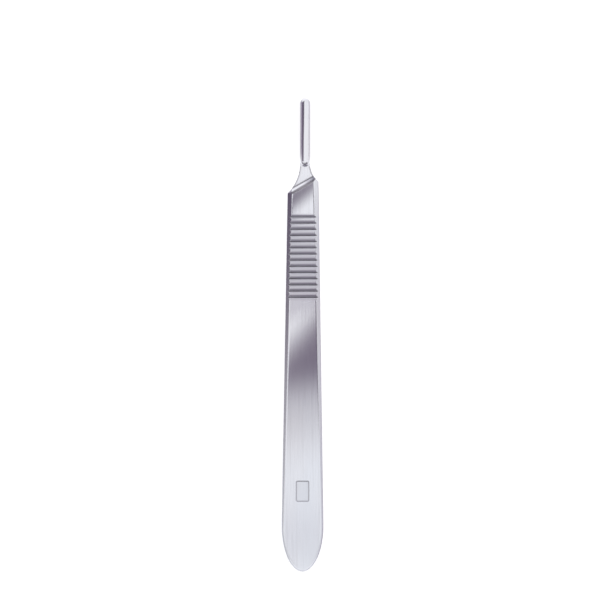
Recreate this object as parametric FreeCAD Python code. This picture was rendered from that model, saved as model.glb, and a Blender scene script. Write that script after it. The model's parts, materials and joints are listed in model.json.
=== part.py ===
"""Scalpel handle: one piece of stainless steel, with a ribbed grip and a fitting bar for a slotted blade.

While it is built, the handle lies along +Y with its butt tip at the origin and its middle plane at z = 0.
A station is a distance from the butt tip. At the end the handle is laid on its back face, with the
origin under its middle. Sizes are in millimetres. Angles that are set are in degrees, and angles that
are worked out are in radians.
"""
import FreeCAD, Part
import os
from math import acos, asin, atan, atan2, cos, degrees, hypot, pi, radians, sin, tan

from FreeCAD import Placement, Rotation, Vector

# Whole handle
HANDLE_LENGTH = 125.0
BUTT_WIDTH = 11.0
BUTT_LENGTH = 12.0
BUTT_THICKNESS = 2.1
SHOULDER_WIDTH = 8.15
SHOULDER_THICKNESS = 3.3

# Long edges: a flat side all round, a bevel above and below it, and soft edges between them
SIDE_HEIGHT = 1.4
BEVEL_ANGLE = 36.0
FACE_EDGE_ROUNDING = 0.8
SIDE_EDGE_ROUNDING = 0.4

# Shoulder: the slanted step down from the body to the tang
SHOULDER_SLANT = 30.0
SHOULDER_SLOPE = 1.25
SHOULDER_EDGE_ROUNDING = 0.5
SHOULDER_LEAD_IN = 5.0
SHOULDER_FILLET = 0.3
BACK_STEP = 0.5

# Tang, and the flares that lead from it to the corners of the body and start beside the bar's foot
TANG_THICKNESS = 1.0
NECK_LENGTH = 5.7
FLARE_LEAD = 1.0
LEFT_FLARE_RADIUS = 11.5
RIGHT_FLARE_RADIUS = 6.5

# Fitting bar, which the slot of a blade slides over
BAR_LENGTH = 18.0
BAR_WIDTH = 2.5
BAR_OFFSET = 0.5
BLADE_THICKNESS = 0.4
BLADE_CLEARANCE = 0.05
GROOVE_DEPTH = 0.4
HEAD_SIDE_HEIGHT = 0.3
HEAD_FLAT = 0.3

# Grip, the same on both faces
RIB_COUNT = 13
RIB_PITCH = 1.63
RIB_HEIGHT = 0.4
RIB_CREST_DROP = 0.05
GRIP_TO_SHOULDER = 7.65

# Blank stamped panel on the front face, near the butt
PANEL_WIDTH = 3.5
PANEL_LENGTH = 5.5
PANEL_DEPTH = 0.15
PANEL_DRAFT = 40.0
PANEL_CORNER = 0.5
PANEL_STATION = 21.3

# Stations, heights and the taper, which follow from the sizes above
BAR_FOOT = HANDLE_LENGTH - BAR_LENGTH
FLARE_START = BAR_FOOT + FLARE_LEAD
SHOULDER_STATION = BAR_FOOT - NECK_LENGTH
GRIP_END = SHOULDER_STATION - GRIP_TO_SHOULDER
GRIP_START = GRIP_END - RIB_COUNT * RIB_PITCH
TAPER = atan((SHOULDER_THICKNESS - BUTT_THICKNESS) / 2 / SHOULDER_STATION)
TANG_BACK = BACK_STEP - SHOULDER_THICKNESS / 2
TANG_FRONT = TANG_BACK + TANG_THICKNESS
HEAD_BACK = TANG_FRONT + BLADE_THICKNESS + BLADE_CLEARANCE
HEAD_ROUNDING = (BAR_WIDTH - HEAD_FLAT) / 2

# How far cutting tools reach past the steel
CLEAR = 2 * SHOULDER_THICKNESS
ACROSS = 2 * BUTT_WIDTH
TOLERANCE = 0.001

# The four corners of a rectangle, in turn, as the sides of its middle that they lie on
PANEL_CORNERS = ((-1, -1), (1, -1), (1, 1), (-1, 1))

X_AXIS = Vector(1, 0, 0)
Z_AXIS = Vector(0, 0, 1)


def face_height(station):
    """Height of the front face over the middle plane."""
    return BUTT_THICKNESS / 2 + station * tan(TAPER)


def line(start, end):
    return Part.LineSegment(start, end).toShape()


def arc(start, middle, end):
    return Part.Arc(start, middle, end).toShape()


def polygon(points):
    """Straight edges that join the points and close back on the first one."""
    return Part.makePolygon(points + points[:1]).Edges


def rounded_corner(before, corner, after, radius):
    """Start, middle and end of the arc that rounds a corner, or the corner alone where the radius is 0."""
    if radius == 0:
        return [corner]
    back = (before - corner).normalize()
    ahead = (after - corner).normalize()
    half_angle = back.getAngle(ahead) / 2
    reach = radius / tan(half_angle)
    inward = (back + ahead).normalize()
    middle = corner + inward * (radius / sin(half_angle) - radius)
    return [corner + back * reach, middle, corner + ahead * reach]


def rounded_outline(corners):
    """Closed edges from corners, each given as its point and the radius that rounds it."""
    points = [point for point, radius in corners]
    turns = []
    for i, (point, radius) in enumerate(corners):
        turns.append(rounded_corner(points[i - 1], point, points[(i + 1) % len(points)], radius))
    edges = []
    for i, turn in enumerate(turns):
        edges.append(line(turns[i - 1][-1], turn[0]))
        if len(turn) > 1:
            edges.append(arc(*turn))
    return edges


def prism(edges, bottom, top):
    """A solid from closed edges in the plane z = 0, between two heights."""
    face = Part.Face(Part.Wire(edges))
    face.translate(Vector(0, 0, bottom))
    return face.extrude(Vector(0, 0, top - bottom))


def across(edges):
    """A cutter from closed edges in the plane x = 0, drawn out to both sides of it."""
    face = Part.Face(Part.Wire(edges))
    face.translate(Vector(-ACROSS, 0, 0))
    return face.extrude(Vector(2 * ACROSS, 0, 0))


def body_plan():
    """The body's outline from the front: an elliptical butt, straight sides tangent to it, a square end."""
    half_butt = BUTT_WIDTH / 2
    half_shoulder = SHOULDER_WIDTH / 2
    centre = Vector(0, BUTT_LENGTH, 0)
    # The tangent to the ellipse is found on a unit circle, to which both lengths are scaled.
    out = half_shoulder / half_butt
    up = (SHOULDER_STATION - BUTT_LENGTH) / BUTT_LENGTH
    past_middle = atan2(up, out) - acos(1 / hypot(out, up))
    sweep = pi / 2 + past_middle
    ellipse = Part.Ellipse(Vector(0, 0, 0), centre + Vector(half_butt, 0, 0), centre)
    butt = Part.ArcOfEllipse(ellipse, -sweep, sweep)
    left = butt.StartPoint
    right = butt.EndPoint
    slope = (half_shoulder - right.x) / (SHOULDER_STATION - right.y)
    half_end = half_shoulder + slope * (FLARE_START - SHOULDER_STATION)
    right_end = Vector(half_end, FLARE_START, 0)
    left_end = Vector(-half_end, FLARE_START, 0)
    return [butt.toShape(), line(right, right_end), line(right_end, left_end), line(left_end, left)]


def is_level(edge, height):
    """True for an edge that lies at one height, above or below the middle plane."""
    box = edge.BoundBox
    return box.ZLength < TOLERANCE and abs(abs(box.ZMin) - height) < TOLERANCE


def is_flat_outline(edge, height):
    """True for the outline's edges on the two flats of a prism, apart from its straight cut end."""
    return is_level(edge, height) and edge.BoundBox.YLength > TOLERANCE


def lengthwise_edges(shape):
    """The long edges of the body, without the short ones across its end."""
    return [e for e in shape.Edges if e.BoundBox.YLength > BUTT_LENGTH / 2]


def body_blank():
    """The body before it is milled: tapered faces, bevels that narrow towards the butt and flat sides."""
    half = face_height(FLARE_START) + FACE_EDGE_ROUNDING
    blank = prism(body_plan(), -half, half)
    down_side = half - SIDE_HEIGHT / 2
    in_from_side = down_side / tan(radians(BEVEL_ANGLE))
    # The first distance of a bevel is measured on the side, which comes before the flats in a prism.
    flat_outline = [e for e in blank.Edges if is_flat_outline(e, half)]
    blank = blank.makeChamfer(down_side, in_from_side, flat_outline)
    start = -BUTT_LENGTH
    end = FLARE_START + BUTT_LENGTH
    wedge = across(
        polygon(
            [
                Vector(0, start, face_height(start)),
                Vector(0, end, face_height(end)),
                Vector(0, end, -face_height(end)),
                Vector(0, start, -face_height(start)),
            ]
        )
    )
    blank = blank.common(wedge)
    face_edges = [e for e in lengthwise_edges(blank) if not is_level(e, SIDE_HEIGHT / 2)]
    blank = blank.makeFillet(FACE_EDGE_ROUNDING, face_edges)
    side_edges = [e for e in lengthwise_edges(blank) if is_level(e, SIDE_HEIGHT / 2)]
    return blank.makeFillet(SIDE_EDGE_ROUNDING, side_edges)


def shoulder_cutters():
    """What is milled off beyond the slanted shoulder: down to the tang in front, and a low step behind."""
    half = SHOULDER_THICKNESS / 2
    lead_in = CLEAR * tan(radians(SHOULDER_LEAD_IN))
    front = across(
        rounded_outline(
            [
                (Vector(0, -CLEAR, half + CLEAR), 0),
                (Vector(0, -CLEAR, half + lead_in), 0),
                (Vector(0, 0, half), SHOULDER_EDGE_ROUNDING),
                (Vector(0, SHOULDER_SLOPE, half - SHOULDER_SLOPE), 0),
                (Vector(0, SHOULDER_SLOPE, TANG_FRONT), SHOULDER_FILLET),
                (Vector(0, HANDLE_LENGTH, TANG_FRONT), 0),
                (Vector(0, HANDLE_LENGTH, half + CLEAR), 0),
            ]
        )
    )
    back = across(
        polygon(
            [
                Vector(0, -CLEAR, -half - CLEAR),
                Vector(0, BACK_STEP, TANG_BACK),
                Vector(0, HANDLE_LENGTH, TANG_BACK),
                Vector(0, HANDLE_LENGTH, -half - CLEAR),
            ]
        )
    )
    for cutter in (front, back):
        cutter.Placement = Placement(Vector(0, SHOULDER_STATION, 0), Rotation(Z_AXIS, SHOULDER_SLANT))
    return [front, back]


def flare_cutters():
    """Two round cutters that shape the neck, tangent to the sides of the fitting bar."""
    cutters = []
    for side, radius in ((-1, LEFT_FLARE_RADIUS), (1, RIGHT_FLARE_RADIUS)):
        x = BAR_OFFSET + side * (BAR_WIDTH / 2 + radius)
        cutters.append(Part.makeCylinder(radius, 2 * CLEAR, Vector(x, FLARE_START, -CLEAR)))
    return cutters


def on_front_face(shape, station):
    """The shape, which was made round the origin, on the front face at a station, tilted with the face."""
    height = face_height(station)
    shape.Placement = Placement(Vector(0, station, height), Rotation(X_AXIS, degrees(TAPER)))
    return shape


def rib_arc(middle, crest, start, end):
    """Part of the round top of a rib, from -1 at its foot towards the butt to 1 at its other foot."""
    half = RIB_PITCH / 2
    rise = crest + RIB_CREST_DROP + RIB_HEIGHT
    radius = (half**2 + rise**2) / (2 * rise)
    reach = asin(half / radius)

    def point(turn):
        return Vector(0, middle + radius * sin(turn * reach), crest - radius + radius * cos(turn * reach))

    return arc(point(start), point((start + end) / 2), point(end))


def grip_cutters():
    """What is cut away round the ribs, on both faces. The end grooves run up to the face in half arcs."""
    first = -RIB_PITCH / 2
    last = (RIB_COUNT + 0.5) * RIB_PITCH
    edges = [rib_arc(first, RIB_CREST_DROP, 0, 1)]
    edges += [rib_arc((i + 0.5) * RIB_PITCH, -RIB_CREST_DROP, -1, 1) for i in range(RIB_COUNT)]
    edges += [rib_arc(last, RIB_CREST_DROP, -1, 0)]
    low_start = Vector(0, first, RIB_CREST_DROP)
    low_end = Vector(0, last, RIB_CREST_DROP)
    high_end = Vector(0, last, CLEAR)
    high_start = Vector(0, first, CLEAR)
    edges += [line(low_end, high_end), line(high_end, high_start), line(high_start, low_start)]
    front = on_front_face(across(edges), GRIP_START)
    return [front, front.mirror(Vector(0, 0, 0), Z_AXIS)]


def panel_cutter():
    """The stamp that leaves a blank rectangular panel with sloping walls and round corners."""
    wires = []
    for height in (-PANEL_DEPTH, PANEL_DEPTH):
        out = height * tan(radians(PANEL_DRAFT))
        x = PANEL_WIDTH / 2 + out
        y = PANEL_LENGTH / 2 + out
        corners = [(Vector(i * x, j * y, height), PANEL_CORNER + out) for i, j in PANEL_CORNERS]
        wires.append(Part.Wire(rounded_outline(corners)))
    return on_front_face(Part.makeLoft(wires, True, True), PANEL_STATION)


def slot_outline(inset, foot):
    """A long outline with two round ends, inset from the bar's own, from a foot station to the tip."""
    radius = BAR_WIDTH / 2 - inset
    low = Vector(BAR_OFFSET, foot + BAR_WIDTH / 2, 0)
    high = Vector(BAR_OFFSET, HANDLE_LENGTH - BAR_WIDTH / 2, 0)
    side = Vector(radius, 0, 0)
    end = Vector(0, radius, 0)
    return [
        arc(high + side, high + end, high - side),
        line(high - side, low - side),
        arc(low - side, low - end, low + side),
        line(low + side, high + side),
    ]


def fitting_bar():
    """The plate in line with the tang, the narrow web between the blade grooves, and the rounded head."""
    inside_neck = BAR_FOOT - BAR_WIDTH
    plate = prism(slot_outline(0, inside_neck), TANG_BACK, TANG_FRONT)
    inside_plate = TANG_BACK + TANG_THICKNESS / 2
    inside_head = HEAD_BACK + HEAD_SIDE_HEIGHT / 2
    web = prism(slot_outline(GROOVE_DEPTH, BAR_FOOT), inside_plate, inside_head)
    head_front = HEAD_BACK + HEAD_SIDE_HEIGHT + HEAD_ROUNDING
    head = prism(slot_outline(0, BAR_FOOT), HEAD_BACK, head_front)
    top_edges = [e for e in head.Edges if e.BoundBox.ZMin > head_front - TOLERANCE]
    return [plate, web, head.makeFillet(HEAD_ROUNDING, top_edges)]


def laid_down(shape):
    """The shape turned until its back face is level, at z = 0, with the origin under its middle."""
    shape.rotate(Vector(0, 0, 0), X_AXIS, degrees(TAPER))
    shape.translate(Vector(0, -HANDLE_LENGTH / 2, BUTT_THICKNESS / 2 * cos(TAPER)))
    return shape


def handle():
    body = body_blank().cut(shoulder_cutters() + flare_cutters())
    body = body.cut(grip_cutters() + [panel_cutter()])
    return laid_down(body.fuse(fitting_bar()).removeSplitter())


os.makedirs("parts", exist_ok=True)
handle().exportStep("parts/handle.step")
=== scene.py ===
"""Scalpel handle: satin steel on the handle, and a white table with soft light and cards round it.

The file is laid out as an add-on. The sizes and colours that a user would change are properties, each job
is an operator, and a panel in the 3D view's sidebar lists them. Lengths are in metres, in the handle's own
frame: +Y runs from the butt to the tip of the fitting bar, and +Z points out of the front face.
"""

import json
from math import hypot, radians
from typing import NamedTuple

import bpy
from bpy.props import FloatProperty, FloatVectorProperty, IntProperty, PointerProperty
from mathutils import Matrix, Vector


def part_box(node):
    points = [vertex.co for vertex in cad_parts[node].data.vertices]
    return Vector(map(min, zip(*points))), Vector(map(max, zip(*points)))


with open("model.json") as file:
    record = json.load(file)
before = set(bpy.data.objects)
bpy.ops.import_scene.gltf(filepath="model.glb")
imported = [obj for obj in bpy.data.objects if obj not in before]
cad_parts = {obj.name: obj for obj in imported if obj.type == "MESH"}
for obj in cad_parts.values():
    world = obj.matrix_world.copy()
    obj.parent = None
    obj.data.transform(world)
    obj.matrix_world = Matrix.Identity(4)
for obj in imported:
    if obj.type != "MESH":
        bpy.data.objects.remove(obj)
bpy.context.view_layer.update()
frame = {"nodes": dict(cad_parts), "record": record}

bl_info = {
    "name": "Scalpel handle",
    "version": (1, 0, 0),
    "blender": (4, 5, 0),
    "location": "View3D > Sidebar > Scalpel handle",
    "description": "Gives a scalpel handle its satin steel, and lights it on a white table",
    "category": "Object",
}

MM = 0.001

HANDLE = frame["nodes"]["handle"]
BACK_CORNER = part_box("handle")[0]
BUTT_TIP = BACK_CORNER.y
FITTING = next(mount for mount in frame["record"]["mounts"] if mount["name"] == "blade_fitting")
BAR_FOOT = FITTING["pos_m"][1] - FITTING["dims"]["length_mm"] * MM / 2

SOFT = 0.1 * MM  # over which one finish turns into the next


class HandleSizes(bpy.types.PropertyGroup):
    """Where the finishes change. The places are measured from the foot of the bar or from the butt."""

    neck_length: FloatProperty(
        name="Neck", description="From the slanted shoulder to the foot of the bar", default=5.7 * MM,
        unit="LENGTH",
    )
    grip_gap: FloatProperty(
        name="Grip to shoulder", description="Plain face between grip and shoulder", default=7.65 * MM,
        unit="LENGTH",
    )
    rib_pitch: FloatProperty(
        name="Rib pitch", description="From one rib's crest to the next", default=1.63 * MM, unit="LENGTH"
    )
    rib_count: IntProperty(name="Ribs", description="Ribs on each face", default=13)
    butt_thickness: FloatProperty(
        name="Butt thickness", description="Thickness at the butt tip", default=2.1 * MM, unit="LENGTH"
    )
    shoulder_thickness: FloatProperty(
        name="Shoulder thickness", description="Thickness at the shoulder", default=3.3 * MM, unit="LENGTH"
    )
    tang_front: FloatProperty(
        name="Tang front", description="Height of the tang's front face", default=1.5 * MM, unit="LENGTH"
    )
    panel_station: FloatProperty(
        name="Panel station", description="From the butt tip to the panel's middle", default=21.3 * MM,
        unit="LENGTH",
    )
    panel_width: FloatProperty(
        name="Panel width", description="Width of the sunk panel", default=3.5 * MM, unit="LENGTH"
    )
    panel_length: FloatProperty(
        name="Panel length", description="Length of the sunk panel", default=5.5 * MM, unit="LENGTH"
    )
    panel_corner: FloatProperty(
        name="Panel corner", description="Radius of the sunk panel's corners", default=0.5 * MM,
        unit="LENGTH",
    )


class SteelFinish(bpy.types.PropertyGroup):
    """Colours, painted shade, gloss and grain of the steel."""

    colour: FloatVectorProperty(
        name="Colour", description="Main colour of the steel", subtype="COLOR", default=(0.81, 0.81, 0.86)
    )
    cool_colour: FloatVectorProperty(
        name="Cool patches", description="Colour of the cooler patches", subtype="COLOR",
        default=(0.785, 0.81, 0.88),
    )
    cool_end: FloatProperty(
        name="Cool end", description="Where the cooler colour of the butt ends", default=-20 * MM,
        unit="LENGTH",
    )
    cool_fade: FloatProperty(
        name="Cool fade", description="Length over which the cooler colour of the butt fades",
        default=20 * MM, unit="LENGTH",
    )
    # Colour of the dark streaks and brush lines, and of the shade painted in grooves, corners and along
    # edges
    film_and_shade_colour: FloatVectorProperty(
        name="Film", description="Colour of the film left in grooves and corners", subtype="COLOR",
        default=(0.15, 0.134, 0.158),
    )
    streak_film: FloatProperty(
        name="Streak film", description="Film in the broad streaks", default=0.06, min=0, max=1,
        subtype="FACTOR",
    )
    grain_film: FloatProperty(
        name="Grain film", description="Film in the brush lines", default=0.07, min=0, max=1,
        subtype="FACTOR",
    )
    # Painted shade that darkens the whole ribbed grip
    grip_shade: FloatProperty(
        name="Grip film", description="Film on the ribs", default=0.15, min=0, max=1, subtype="FACTOR"
    )
    # Painted shade in the grip's deep grooves, at least this much
    groove_shade: FloatProperty(
        name="Groove film", description="Least film in the grip's grooves", default=0.7, min=0, max=1,
        subtype="FACTOR",
    )
    # How much darker the painted shade in the grooves is in blots
    groove_blot_shade: FloatProperty(
        name="Groove smudges", description="How much more film the smudges in the grooves have",
        default=0.5, min=0, max=1, subtype="FACTOR",
    )
    # Painted shade as a dark line round the rim of the sunk panel
    panel_rim_shade: FloatProperty(
        name="Panel film", description="Film round the sunk panel", default=0.4, min=0, max=1,
        subtype="FACTOR",
    )
    # Painted shade as a dark line along the outline of the tang
    outline_shade: FloatProperty(
        name="Outline film", description="Film along the outline of the tang", default=0.9, min=0, max=1,
        subtype="FACTOR",
    )
    # Painted shade in the corner at the foot of the shoulder's slope
    foot_shade: FloatProperty(
        name="Foot film", description="Film at the foot of the shoulder's slope", default=0.54, min=0,
        max=1, subtype="FACTOR",
    )
    # Painted shade as a dark line on the upper edge of the shoulder's slope
    crest_shade: FloatProperty(
        name="Crest film", description="Film on the upper edge of the shoulder's slope", default=0.72,
        min=0, max=1, subtype="FACTOR",
    )
    satin_roughness: FloatProperty(
        name="Satin", description="Roughness of the brushed faces", default=0.24, min=0, max=1,
        subtype="FACTOR",
    )
    polish_roughness: FloatProperty(
        name="Polish", description="Roughness of the fitting bar and worn edges", default=0.17, min=0,
        max=1, subtype="FACTOR",
    )
    bar_polish: FloatProperty(
        name="Bar polish", description="How far the fitting bar is polished", default=0.75, min=0, max=1,
        subtype="FACTOR",
    )
    edge_polish: FloatProperty(
        name="Edge polish", description="How far wear has polished the edges", default=0.6, min=0, max=1,
        subtype="FACTOR",
    )
    streak_roughness: FloatProperty(
        name="Streaks", description="How much the roughness varies from streak to streak", default=0.08,
        min=0, max=1, subtype="FACTOR",
    )
    milled_roughness: FloatProperty(
        name="Milling", description="Roughness of the ribs", default=0.32, min=0, max=1, subtype="FACTOR"
    )
    stamp_roughness: FloatProperty(
        name="Stamp", description="Roughness of the panel's floor", default=0.4, min=0, max=1,
        subtype="FACTOR",
    )
    grain_width: FloatProperty(
        name="Grain width", description="Width of one brush line", default=0.09 * MM, unit="LENGTH"
    )
    grain_length: FloatProperty(
        name="Grain length", description="Length of one brush line", default=7 * MM, unit="LENGTH"
    )
    grain_depth: FloatProperty(
        name="Grain depth", description="Depth of the brush lines", default=0.0022 * MM, unit="LENGTH"
    )
    pebble_width: FloatProperty(
        name="Pebble width", description="Width of one pebble in the panel", default=0.108 * MM,
        unit="LENGTH",
    )
    pebble_depth: FloatProperty(
        name="Pebble depth", description="Depth between the pebbles", default=0.0033 * MM, unit="LENGTH"
    )
    edge_width: FloatProperty(
        name="Edge width", description="Width of the worn band along sharp edges", default=0.2 * MM,
        unit="LENGTH",
    )
    # Width of the painted shade along the outline of the tang
    outline_width: FloatProperty(
        name="Outline width", description="Width of the film along the outline of the tang",
        default=0.8 * MM, unit="LENGTH",
    )


class StageLook(bpy.types.PropertyGroup):
    """The table, the light round it and the camera over it."""

    table_colour: FloatVectorProperty(
        name="Table", description="Colour of the table", subtype="COLOR", default=(0.8, 0.8, 0.8)
    )
    table_glow: FloatProperty(
        name="Table glow", description="What lifts the table to white in the picture", default=0.5, min=0
    )
    light: FloatProperty(
        name="Light", description="Strength of the light round the handle", default=1.06, min=0
    )
    butt_end: FloatProperty(
        name="Butt end", description="What is left of the light beyond the butt", default=0.25, min=0,
        max=1, subtype="FACTOR",
    )
    beside: FloatProperty(
        name="Beside", description="What is left of the light low on both sides", default=0.4, min=0,
        max=1, subtype="FACTOR",
    )
    card_tint: FloatVectorProperty(
        name="Card tint", description="Tint of the cards that the steel reflects", subtype="COLOR",
        default=(1.0, 0.68, 1.2), soft_max=2.0,
    )
    picture_width: FloatProperty(
        name="Picture width", description="Width that the picture shows", default=159.4 * MM, unit="LENGTH"
    )
    picture_middle: FloatVectorProperty(
        name="Picture middle", description="Point in the middle of the picture", subtype="TRANSLATION",
        default=(-0.1 * MM, 8.6 * MM, 3 * MM),
    )
    camera_lens: FloatProperty(name="Lens", description="Focal length", default=120, unit="CAMERA")
    camera_roll: FloatProperty(
        name="Roll", description="Turn of the camera round its own axis", default=radians(0.11),
        subtype="ANGLE",
    )


class Wire:
    """An output socket of a shader node. Arithmetic on it adds the Math nodes for the expression."""

    def __init__(self, shader, socket):
        self.shader = shader
        self.socket = socket

    def __add__(self, other):
        return self.shader.maths("ADD", self, other)

    def __radd__(self, other):
        return self.shader.maths("ADD", other, self)

    def __sub__(self, other):
        return self.shader.maths("SUBTRACT", self, other)

    def __rsub__(self, other):
        return self.shader.maths("SUBTRACT", other, self)

    def __mul__(self, other):
        return self.shader.maths("MULTIPLY", self, other)

    def __rmul__(self, other):
        return self.shader.maths("MULTIPLY", other, self)

    def __neg__(self):
        return self.shader.maths("MULTIPLY", self, -1.0)

    def __abs__(self):
        return self.shader.maths("ABSOLUTE", self)

    def __or__(self, other):
        """The larger of two values, which joins two masks."""
        return self.shader.maths("MAXIMUM", self, other)

    def above(self, low, high):
        """0 below the low value and 1 above the high one, with a soft step between them."""
        settings = {"interpolation_type": "SMOOTHSTEP"}
        inputs = {"Value": self, "From Min": low, "From Max": high}
        return self.shader.node("ShaderNodeMapRange", settings, inputs)

    def below(self, low, high):
        """1 below the low value and 0 above the high one, with a soft step between them."""
        return 1 - self.above(low, high)

    def between(self, low, high, softness):
        """1 between two values and 0 outside them, with soft steps centred on both."""
        half = softness / 2
        return self.above(low - half, low + half) * self.below(high - half, high + half)


class Shader:
    """The node tree of a material or world. Every node in it comes from the method node."""

    def __init__(self, owner):
        owner.use_nodes = True
        self.tree = owner.node_tree
        self.tree.nodes.clear()

    def node(self, kind, settings=None, inputs=None, output=0):
        """Adds a node: its settings first, then its inputs, by name or number, as values or wires."""
        node = self.tree.nodes.new(kind)
        for name, value in (settings or {}).items():
            setattr(node, name, value)
        for name, value in (inputs or {}).items():
            if isinstance(value, Wire):
                self.tree.links.new(value.socket, node.inputs[name])
            else:
                node.inputs[name].default_value = value
        return Wire(self, node.outputs[output]) if node.outputs else None

    def maths(self, operation, *values):
        """A Math node."""
        return self.node("ShaderNodeMath", {"operation": operation}, dict(enumerate(values)))

    def vectors(self, operation, *values, output="Vector"):
        """A Vector Math node."""
        return self.node("ShaderNodeVectorMath", {"operation": operation}, dict(enumerate(values)), output)

    def mix(self, factor, colour, other):
        """The first colour where the factor is 0 and the other where it is 1."""
        return self.node("ShaderNodeMix", {"data_type": "RGBA"}, {0: factor, 6: colour, 7: other}, 2)

    def split(self, vector):
        """The X, Y and Z of a vector."""
        return [self.node("ShaderNodeSeparateXYZ", None, {"Vector": vector}, axis) for axis in "XYZ"]

    def noise(self, position, sizes):
        """Noise between 0 and 1, centred on 0.5, whose blots have the given size along X, Y and Z."""
        inputs = {"Vector": self.vectors("DIVIDE", position, sizes), "Scale": 1}
        return self.node("ShaderNodeTexNoise", None, inputs)


def rgba(colour):
    """A colour with the alpha that sockets ask for."""
    return (*colour, 1.0)


class Zones(NamedTuple):
    """Masks, from 0 to 1, of the stretches of the handle that are finished in different ways, and of those
    on which shade is painted.
    """

    grip: Wire
    groove: Wire
    fitting: Wire
    panel: Wire
    panel_rim: Wire
    edge: Wire
    outline: Wire
    foot: Wire
    crest: Wire


def edge_mask(shader, rounded, low, high):
    """1 on sharp edges, where the rounded normal departs from the true one.

    Low and high are cosines of the angle between the two normals.
    """
    true_normal = shader.node("ShaderNodeNewGeometry", output="Normal")
    return shader.vectors("DOT_PRODUCT", rounded, true_normal, output="Value").below(low, high)


def grip_zones(shader, place, direction, sizes, shoulder):
    """The ribs, and the grooves between them, on both faces but not on the bevels. Shade is painted on the
    ribs and, darker, in the deep grooves.
    """
    y, z = place[1:]
    grip_end = shoulder - sizes.grip_gap
    grip_start = grip_end - sizes.rib_count * sizes.rib_pitch
    reach = sizes.rib_pitch / 2
    off_bevel = abs(direction[0]).below(0.3, 0.5)
    grip = y.between(grip_start - reach, grip_end + reach, SOFT) * off_bevel
    taper = (sizes.shoulder_thickness - sizes.butt_thickness) / (shoulder - BUTT_TIP)
    front = sizes.butt_thickness + (y - BUTT_TIP) * taper
    depth = shader.maths("MINIMUM", front - z, z)
    return grip, grip * depth.above(0.2 * MM, 0.45 * MM)


def panel_zones(shader, place, direction, sizes):
    """The floor of the sunk panel, and the rim round it with its rounded corners, on which a dark line of
    shade is painted.
    """
    x, y = place[:2]
    corner = sizes.panel_corner
    off_side = abs(x) - (sizes.panel_width / 2 - corner) | 0
    off_end = abs(y - (BUTT_TIP + sizes.panel_station)) - (sizes.panel_length / 2 - corner) | 0
    outside = shader.maths("SQRT", off_side * off_side + off_end * off_end) - corner
    front = direction[2].above(0.4, 0.6)
    rim = outside.between(-0.3 * MM, 0.06 * MM, 0.16 * MM)
    return outside.below(-SOFT, 0) * front, rim * front


def neck_zones(shader, place, direction, sizes, shoulder, outline_normal):
    """The outline of the tang, and the foot and the crest of the shoulder's slope above it, on all of
    which shade is painted as dark lines.

    The foot and the crest are told by their height over the tang and by how far they face forward and up.
    """
    y, z = place[1:]
    ny, nz = direction[1:]
    slant = 2.5 * MM  # from the middle of the slanted shoulder to its ends, along Y
    margin = 1 * MM  # that the crest keeps from the grip and from the bar
    grip_end = shoulder - sizes.grip_gap
    over_tang = z - sizes.tang_front
    tang = y.above(shoulder - slant, shoulder) * y.below(BAR_FOOT, BAR_FOOT + SOFT)
    neck = y.above(grip_end + margin, grip_end + 2 * margin) * y.below(BAR_FOOT - margin, BAR_FOOT)
    outline = edge_mask(shader, outline_normal, 0.92, 0.985) * over_tang.below(0.1 * MM, 0.2 * MM)
    foot = ny.above(0.07, 0.17) * nz.above(0.3, 0.5) * over_tang.below(0.3 * MM, 0.8 * MM)
    crest = ny.above(0.05, 0.15) * nz.above(0.55, 0.65) * over_tang.above(1 * MM, 1.3 * MM)
    return outline * tang, foot * tang, crest * neck


def handle_zones(shader, position, sizes, edge_normal, outline_normal):
    """The zones, worked out from the place and direction of each point of the surface."""
    place = shader.split(position)
    direction = shader.split(shader.node("ShaderNodeTexCoord", output="Normal"))
    shoulder = BAR_FOOT - sizes.neck_length
    grip, groove = grip_zones(shader, place, direction, sizes, shoulder)
    fitting = place[1].above(BAR_FOOT - SOFT, BAR_FOOT + SOFT)
    panel, panel_rim = panel_zones(shader, place, direction, sizes)
    edge = edge_mask(shader, edge_normal, 0.86, 0.985)
    outline, foot, crest = neck_zones(shader, place, direction, sizes, shoulder, outline_normal)
    return Zones(grip, groove, fitting, panel, panel_rim, edge, outline, foot, crest)


def steel_colour(shader, position, finish):
    """The steel's own colour, cooler in large patches and towards the butt."""
    patches = shader.noise(position, (9 * MM, 26 * MM, 9 * MM))
    butt = shader.split(position)[1].below(finish.cool_end - finish.cool_fade, finish.cool_end)
    butt_share = 0.6
    cool = patches.above(0.35, 0.65) * (1 - butt_share) + butt * butt_share
    return shader.mix(cool, rgba(finish.colour), rgba(finish.cool_colour))


def steel_film_and_shade(shader, position, finish, zones, streaks, grain):
    """How much dark colour covers the steel: a little in random streaks and brush lines, and painted shade
    on the ribs, in the grooves, round the panel's rim, along the tang's outline and at the foot and crest
    of the shoulder's slope.
    """
    # Blots that vary the painted shade in the grooves
    shade_blots = shader.noise(position, (3.5 * MM, 6 * MM, 3.5 * MM))
    darkening = streaks.above(0.45, 0.8) * finish.streak_film + grain.above(0.35, 0.75) * finish.grain_film
    # Painted shade in the grooves
    groove_painted_shade = finish.groove_shade + finish.groove_blot_shade * shade_blots
    # Painted shade: on the ribs, and darker in the grooves
    darkening = darkening | zones.grip * finish.grip_shade | zones.groove * groove_painted_shade
    # Painted shade round the panel's rim and along the tang's outline
    darkening = darkening | zones.panel_rim * finish.panel_rim_shade | zones.outline * finish.outline_shade
    # Painted shade at the foot and on the crest of the shoulder's slope
    return darkening | zones.foot * finish.foot_shade | zones.crest * finish.crest_shade


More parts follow.
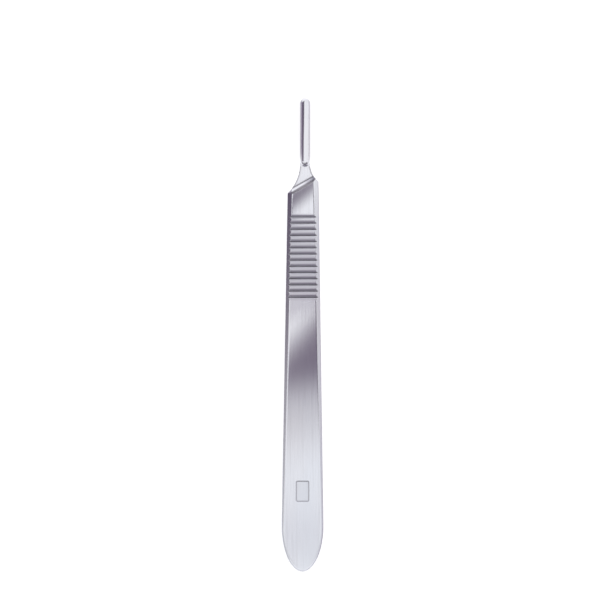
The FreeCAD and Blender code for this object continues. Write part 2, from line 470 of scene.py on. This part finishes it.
def steel_roughness(finish, zones, streaks):
    """Satin that varies with the streaks, smoother where polished and rougher where milled or stamped."""
    satin = finish.satin_roughness
    polished = zones.fitting * finish.bar_polish | zones.edge * finish.edge_polish
    roughness = satin + (streaks - 0.5) * finish.streak_roughness
    roughness = roughness + (finish.polish_roughness - satin) * polished
    roughness = roughness + (finish.milled_roughness - satin) * zones.grip
    return roughness + (finish.stamp_roughness - satin) * zones.panel


def steel_relief(shader, position, finish, zones, grain):
    """Height of the surface: brush lines, milling lines across the grip and pebbles in the panel."""
    milled = shader.noise(position, (finish.grain_length, finish.grain_width, finish.grain_width))
    pebbled = shader.noise(position, (finish.pebble_width,) * 3)
    lines = grain * (1 - zones.grip) + milled * zones.grip
    return lines * (1 - zones.panel) * finish.grain_depth + pebbled * zones.panel * finish.pebble_depth


def satin_steel(sizes, finish):
    """Brushed stainless steel, milled in the grip, polished on the bar and edges and matt in the panel,
    with shade painted into its colour in grooves, corners and along edges.
    """
    material = bpy.data.materials.new("satin_steel")
    shader = Shader(material)
    position = shader.node("ShaderNodeTexCoord", output="Object")
    edge_normal = shader.node("ShaderNodeBevel", {"samples": 6}, {"Radius": finish.edge_width})
    outline_normal = shader.node("ShaderNodeBevel", {"samples": 4}, {"Radius": finish.outline_width})
    zones = handle_zones(shader, position, sizes, edge_normal, outline_normal)
    streaks = shader.noise(position, (0.5 * MM, 40 * MM, 0.5 * MM))
    grain = shader.noise(position, (finish.grain_width, finish.grain_length, finish.grain_width))

    # Dark tone in random streaks, and painted shade in grooves, corners and along edges, mixed into the
    # steel's colour
    darkening = steel_film_and_shade(shader, position, finish, zones, streaks, grain)
    colour = shader.mix(darkening, steel_colour(shader, position, finish), rgba(finish.film_and_shade_colour))
    height = steel_relief(shader, position, finish, zones, grain)
    relief = {"Strength": 1.0, "Distance": 1.0, "Height": height, "Normal": edge_normal}
    inputs = {
        "Base Color": colour,
        "Metallic": 1.0,
        "Roughness": steel_roughness(finish, zones, streaks),
        "Normal": shader.node("ShaderNodeBump", None, relief),
    }
    surface = shader.node("ShaderNodeBsdfPrincipled", None, inputs)
    shader.node("ShaderNodeOutputMaterial", None, {"Surface": surface})
    return material


def quad(name, corners, material):
    """A flat four-sided sheet of the stage."""
    mesh = bpy.data.meshes.new(name)
    mesh.from_pydata(corners, [], [(0, 1, 2, 3)])
    mesh.materials.append(material)
    sheet = bpy.data.objects.new(name, mesh)
    bpy.context.scene.collection.objects.link(sheet)
    return sheet


class Card(NamedTuple):
    """A card of one tone beside or over the handle, which only the steel's reflections show.

    It runs from one point (x, z) to another across the handle, and between two stations along it, each of
    which moves along Y by its slant times x. Its edges fade over the soft lengths: first and last across,
    low and high along. The tone is how bright it is, and cover is how much it hides of what is behind it.
    """

    name: str
    first: tuple
    last: tuple
    low: float
    high: float
    tone: float
    slants: tuple = (0.0, 0.0)
    soft_across: tuple = (1.0, 1.0)
    soft_along: tuple = (1.0, 1.0)
    cover: float = 1.0


# In millimetres. First the tones of the two bevels, and the thin lines along both sides of the right one
BEVEL_CARDS = (
    Card("left_card", (-5.8, 0.05), (-30, 22), -105, 46, 0.11, soft_across=(0.5, 10), soft_along=(150, 6)),
    Card("right_card", (12, 1.5), (30, 20), -95, 44, 0.7, soft_across=(0.5, 5), soft_along=(20, 25)),
    Card("right_edge_card", (5.8, 0.05), (13, 1.6), -95, 44, 0.3, soft_across=(0.5, 2), soft_along=(6, 6)),
    Card(
        "stripe_card", (8, 22), (26, 22), -34, 43, 0.06, soft_across=(3, 4), soft_along=(20, 4), cover=0.9
    ),
)
# The fitting bar's dark stripe and grey sides, the shoulder's white slope and the dark edge above it
BAR_CARDS = (
    Card("bar_card", (-12, 38), (-34, 12), 44, 74, 0.13, soft_across=(5, 6), soft_along=(4, 6)),
    Card("bar_side_card", (-9, 0.5), (-30, 14), 44, 72, 0.3, soft_across=(1, 4), soft_along=(4, 6)),
    Card("bar_left_card", (-9, 0.1), (0.4, 0.1), 45, 66, 0.3, soft_across=(3, 0.2), soft_along=(3, 4)),
    Card("bar_right_card", (0.6, 0.1), (9, 0.1), 45, 66, 0.5, soft_across=(0.2, 3), soft_along=(3, 4)),
    Card("shoulder_light", (-3, 0.5), (-3, 3), 34, 49, 1.1, soft_across=(0.3, 0.3), soft_along=(1, 3)),
    Card("far_card", (-10, 60), (-60, 60), 55, 110, 0.05, soft_across=(5, 5), soft_along=(8, 8)),
)
# The slanted dark fields in the front face, from the middle of the handle to the shoulder
FACE_CARDS = (
    Card(
        "face_card", (-12, 20), (12, 20), -20.5, 5.5, 0.16, slants=(0.15, 1.15), soft_across=(3, 1),
        soft_along=(12, 12), cover=0.9,
    ),
    Card(
        "tail_card", (-12, 22), (12, 22), -39, 7.5, 0.16, slants=(0.2, 1.2), soft_across=(3, 2),
        soft_along=(23, 13), cover=0.43,
    ),
    Card(
        "grip_card", (-8, 10), (8, 10), 2.5, 32, 0.3, slants=(0.4, 0), soft_across=(2, 2),
        soft_along=(6, 1), cover=0.42,
    ),
    Card(
        "shoulder_card", (-7, 8), (7, 8), 32.5, 40.5, 0.14, slants=(0.9, 0.577), soft_across=(1, 1),
        soft_along=(6, 1.5), cover=0.85,
    ),
)
# The faint shade on the butt, and what its rounded end reflects
BUTT_CARDS = (
    Card(
        "butt_card", (-12, 30), (12, 30), -66, -44, 0.4, soft_across=(4, 4), soft_along=(7, 12), cover=0.15
    ),
    Card("butt_end_card", (-24, 4), (24, 4), -92, -65, 0.75, soft_across=(2, 2), soft_along=(6, 1)),
    Card("butt_top_card", (-24, 12), (24, 12), -84, -64, 1.0, soft_across=(2, 2), soft_along=(6, 1)),
)


def card_material(card, tint):
    """A flat tone that fades towards the card's edges. The lighter it is, the less it is tinted."""
    material = bpy.data.materials.new(card.name)
    shader = Shader(material)
    place = shader.vectors("DIVIDE", shader.node("ShaderNodeTexCoord", output="Object"), (MM, MM, MM))
    x, y, z = shader.split(place)
    run_x, run_z = card.last[0] - card.first[0], card.last[1] - card.first[1]
    width = hypot(run_x, run_z)
    across = (x - card.first[0]) * (run_x / width) + (z - card.first[1]) * (run_z / width)
    from_low = y - x * card.slants[0] - card.low
    from_high = x * card.slants[1] + card.high - y
    inside = across.above(0, card.soft_across[0]) * (width - across).above(0, card.soft_across[1])
    inside = inside * from_low.above(0, card.soft_along[0]) * from_high.above(0, card.soft_along[1])
    clear = shader.node("ShaderNodeBsdfTransparent")
    colour = [1 + (channel - 1) * (1 - card.tone) ** 2 for channel in tint]
    board = shader.node("ShaderNodeEmission", None, {"Color": rgba(colour), "Strength": card.tone})
    surface = shader.node("ShaderNodeMixShader", None, {0: inside * card.cover, 1: clear, 2: board})
    shader.node("ShaderNodeOutputMaterial", None, {"Surface": surface})
    return material


def add_card(card, tint):
    """Builds a card and hides it from all but reflections."""
    low_slant, high_slant = card.slants
    corners = []
    for (x, z), ends in ((card.first, (0, 1)), (card.last, (1, 0))):
        stations = (card.low + low_slant * x, card.high + high_slant * x)
        corners += [Vector((x, stations[end], z)) * MM for end in ends]
    sheet = quad(card.name, corners, card_material(card, tint))
    sheet.visible_camera = False
    sheet.visible_diffuse = False
    sheet.visible_shadow = False
    sheet.visible_transmission = False
    sheet.visible_volume_scatter = False


def table_material(look):
    """A pale table, lifted to white in the picture and in reflections, which keeps a soft shadow."""
    material = bpy.data.materials.new("white_table")
    shader = Shader(material)
    path = "ShaderNodeLightPath"
    seen = shader.node(path, output="Is Camera Ray") | shader.node(path, output="Is Glossy Ray")
    seen = seen | shader.node(path, output="Is Transmission Ray")
    board = shader.node("ShaderNodeBsdfDiffuse", None, {"Color": rgba(look.table_colour)})
    glow = shader.node("ShaderNodeEmission", None, {"Strength": seen * look.table_glow})
    surface = shader.node("ShaderNodeAddShader", None, {0: board, 1: glow})
    shader.node("ShaderNodeOutputMaterial", None, {"Surface": surface})
    return material


def add_table(look):
    """The table that the handle lies on, wide enough to fill every view."""
    reach = 3.0
    gap = 0.02 * MM  # that keeps the two surfaces apart
    under = BACK_CORNER.z - gap
    corners = [(x * reach, y * reach, under) for x, y in ((-1, -1), (1, -1), (1, 1), (-1, 1))]
    quad("table", corners, table_material(look))


def set_world(look):
    """White behind everything, and an even light that falls off beyond the butt and low on both sides."""
    world = bpy.data.worlds.new("studio")
    bpy.context.scene.world = world
    shader = Shader(world)
    # Where the light comes from, as the parts of a unit vector
    x, y, z = shader.split(shader.node("ShaderNodeTexCoord", output="Generated"))
    past_butt = (-y).above(-0.05, 0.85) * (1 - look.butt_end)
    beside = abs(x).above(0.6, 0.9) * z.below(0.05, 0.35) * (1 - look.beside)
    camera_ray = shader.node("ShaderNodeLightPath", output="Is Camera Ray")
    light = look.light * (1 - (past_butt | beside))
    strength = camera_ray + (1 - camera_ray) * light
    white = rgba((1, 1, 1))
    background = shader.node("ShaderNodeBackground", None, {"Color": white, "Strength": strength})
    shader.node("ShaderNodeOutputWorld", None, {"Surface": background})


def add_camera(look):
    """The camera, straight over the handle."""
    data = bpy.data.cameras.new("camera")
    data.lens = look.camera_lens
    data.clip_start = 0.01
    camera = bpy.data.objects.new("camera", data)
    distance = look.picture_width * data.lens / data.sensor_width
    camera.location = Vector(look.picture_middle) + Vector((0, 0, distance))
    camera.rotation_euler = (0, 0, look.camera_roll)
    bpy.context.scene.collection.objects.link(camera)
    bpy.context.scene.camera = camera


class FinishHandle(bpy.types.Operator):
    """Give the handle its satin steel"""

    bl_idname = "scalpel.finish_handle"
    bl_label = "Finish handle"

    def execute(self, context):
        scene = context.scene
        HANDLE.material_slots[0].material = satin_steel(scene.handle_sizes, scene.steel_finish)
        return {"FINISHED"}


class SetStage(bpy.types.Operator):
    """Set up the table, the cards, the light and the camera"""

    bl_idname = "scalpel.set_stage"
    bl_label = "Set stage"

    def execute(self, context):
        look = context.scene.stage_look
        add_table(look)
        for card in BEVEL_CARDS + BAR_CARDS + FACE_CARDS + BUTT_CARDS:
            add_card(card, look.card_tint)
        set_world(look)
        add_camera(look)
        context.scene.view_settings.view_transform = "Standard"
        return {"FINISHED"}


class ScalpelPanel(bpy.types.Panel):
    """Lists the properties and the operators in the sidebar"""

    bl_idname = "VIEW3D_PT_scalpel_handle"
    bl_label = "Scalpel handle"
    bl_space_type = "VIEW_3D"
    bl_region_type = "UI"
    bl_category = "Scalpel handle"

    def draw(self, context):
        for title, name in (("Sizes", "handle_sizes"), ("Steel", "steel_finish"), ("Stage", "stage_look")):
            box = self.layout.box()
            box.label(text=title)
            group = getattr(context.scene, name)
            for prop in group.__annotations__:
                box.prop(group, prop)
        self.layout.operator(FinishHandle.bl_idname)
        self.layout.operator(SetStage.bl_idname)


CLASSES = (HandleSizes, SteelFinish, StageLook, FinishHandle, SetStage, ScalpelPanel)


def register():
    for cls in CLASSES:
        bpy.utils.register_class(cls)
    bpy.types.Scene.handle_sizes = PointerProperty(type=HandleSizes)
    bpy.types.Scene.steel_finish = PointerProperty(type=SteelFinish)
    bpy.types.Scene.stage_look = PointerProperty(type=StageLook)


def unregister():
    del bpy.types.Scene.handle_sizes
    del bpy.types.Scene.steel_finish
    del bpy.types.Scene.stage_look
    for cls in reversed(CLASSES):
        bpy.utils.unregister_class(cls)


def main():
    """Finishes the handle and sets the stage."""
    register()
    bpy.ops.scalpel.finish_handle()
    bpy.ops.scalpel.set_stage()


if __name__ == "__main__":
    main()
